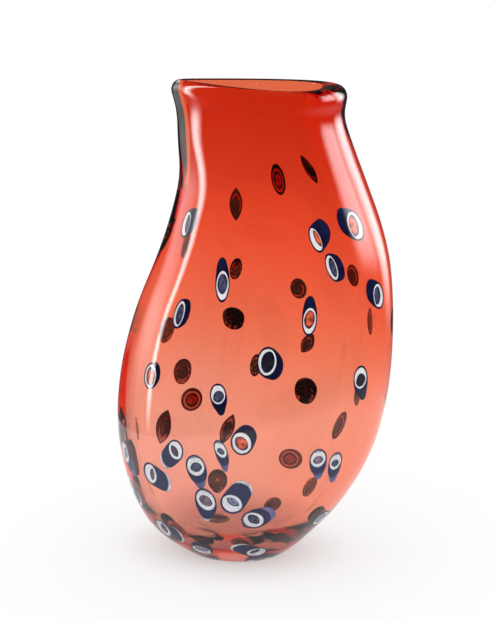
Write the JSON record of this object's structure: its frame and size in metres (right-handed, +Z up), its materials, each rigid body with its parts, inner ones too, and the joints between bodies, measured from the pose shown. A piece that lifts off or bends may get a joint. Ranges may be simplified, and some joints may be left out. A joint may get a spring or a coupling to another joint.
{
  "type": "hand blown glass vase",
  "caption": "Flattened, leaning bottle-shaped blown glass vase: red lining in a thick clear casing, with ringed cane slices sealed between the two glasses.",
  "frame": {"origin": "middle of the ground foot, on the surface it stands on", "axes": "+Z up to the mouth, +X along the wide face toward the side that the belly and the neck lean to, +Y through the vase toward its back"},
  "size_m": [0.181, 0.1132, 0.3],
  "materials": {
    "clear_glass": "fire polished, colourless",
    "red_glass": "transparent red, deep at the neck and coral in the belly",
    "white_glass": "opaque white",
    "core_glass": "translucent lilac blue",
    "navy_glass": "dense navy"
  },
  "bodies": {
    "root": {"clear_casing": "clear_glass", "red_lining": "red_glass", "white_rings": "white_glass", "murrina_cores": "core_glass", "murrina_01": "navy_glass", "murrina_02": "navy_glass", "murrina_03": "navy_glass", "murrina_04": "navy_glass", "murrina_05": "navy_glass", "murrina_06": "navy_glass", "murrina_07": "navy_glass", "murrina_08": "navy_glass", "murrina_09": "navy_glass", "murrina_10": "navy_glass", "murrina_11": "navy_glass", "murrina_12": "navy_glass", "murrina_13": "navy_glass", "murrina_14": "navy_glass", "murrina_15": "navy_glass", "murrina_16": "navy_glass", "murrina_17": "navy_glass", "murrina_18": "navy_glass", "murrina_19": "navy_glass", "murrina_20": "navy_glass", "murrina_21": "navy_glass", "murrina_22": "navy_glass", "murrina_23": "navy_glass", "murrina_24": "navy_glass", "murrina_25": "navy_glass", "murrina_26": "navy_glass", "murrina_27": "navy_glass", "murrina_28": "navy_glass", "murrina_29": "navy_glass", "murrina_30": "navy_glass", "murrina_31": "navy_glass", "murrina_32": "navy_glass", "murrina_33": "navy_glass", "murrina_34": "navy_glass", "murrina_35": "navy_glass", "murrina_36": "navy_glass", "murrina_37": "navy_glass", "murrina_38": "navy_glass", "murrina_39": "navy_glass", "murrina_40": "navy_glass", "murrina_41": "navy_glass", "murrina_42": "navy_glass", "murrina_43": "navy_glass", "murrina_44": "navy_glass", "murrina_45": "navy_glass", "murrina_46": "navy_glass", "murrina_47": "navy_glass", "murrina_48": "navy_glass", "murrina_49": "navy_glass", "murrina_50": "navy_glass", "murrina_51": "navy_glass", "murrina_52": "navy_glass", "murrina_53": "navy_glass", "murrina_54": "navy_glass", "murrina_55": "navy_glass"}
  },
  "joints": []
}
